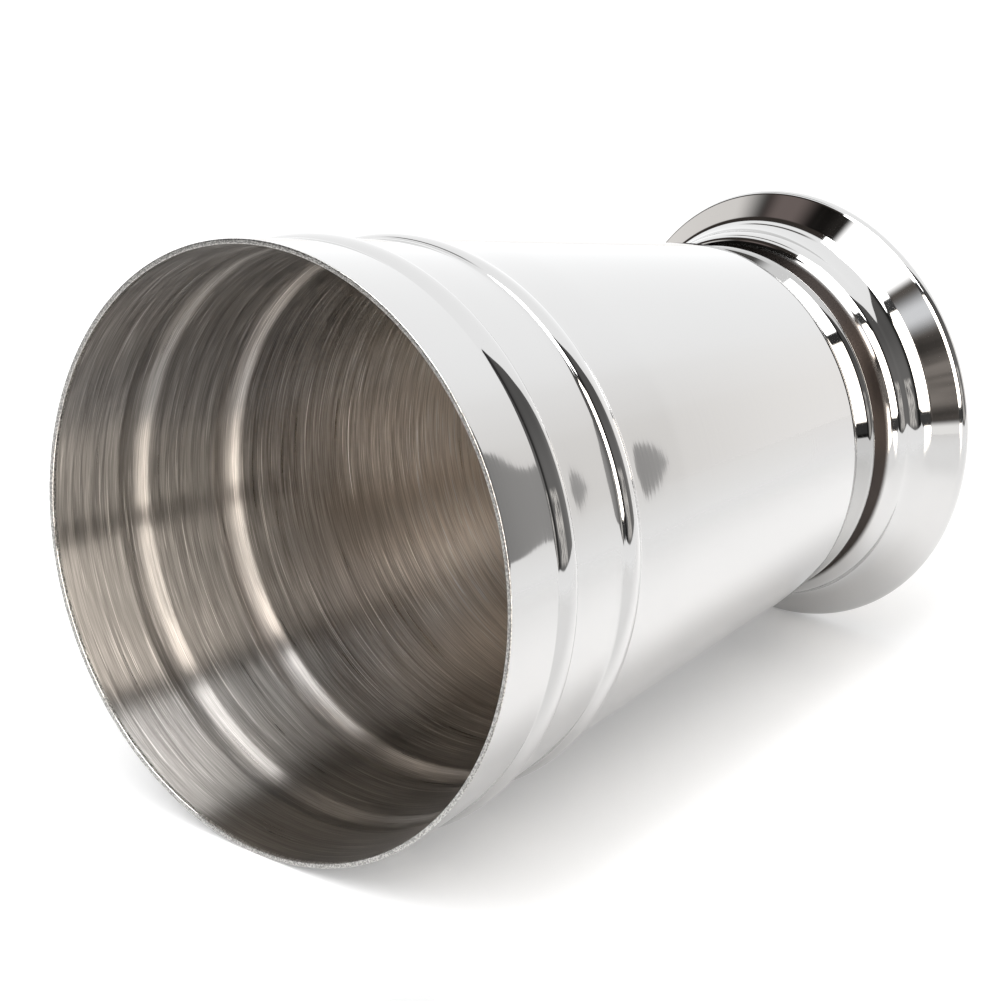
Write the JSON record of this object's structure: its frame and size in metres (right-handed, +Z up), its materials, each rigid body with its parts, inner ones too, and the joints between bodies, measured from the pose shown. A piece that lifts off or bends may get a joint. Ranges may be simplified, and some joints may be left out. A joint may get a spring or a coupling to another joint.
{
  "type": "cocktail cup",
  "caption": "Tapered stainless steel cocktail cup with two rolled beads below the lip, a flared collar and a hollow stepped foot with a rolled edge.",
  "frame": {"origin": "centre of the circle on which the foot rests, at table height", "axes": "+Z up along the cup's axis, out of the mouth; +X and +Y level, with a weld on +X"},
  "size_m": [0.088, 0.088, 0.118],
  "materials": {
    "cup_steel": "polished outside, brushed round the inside",
    "foot_steel": "mirror-polished stainless steel",
    "weld_steel": "as-welded, lightly tinted"
  },
  "bodies": {
    "root": {"cup_body": "cup_steel", "foot_collar": "foot_steel", "foot_shell": "foot_steel", "plug_welds": "weld_steel"}
  },
  "joints": []
}
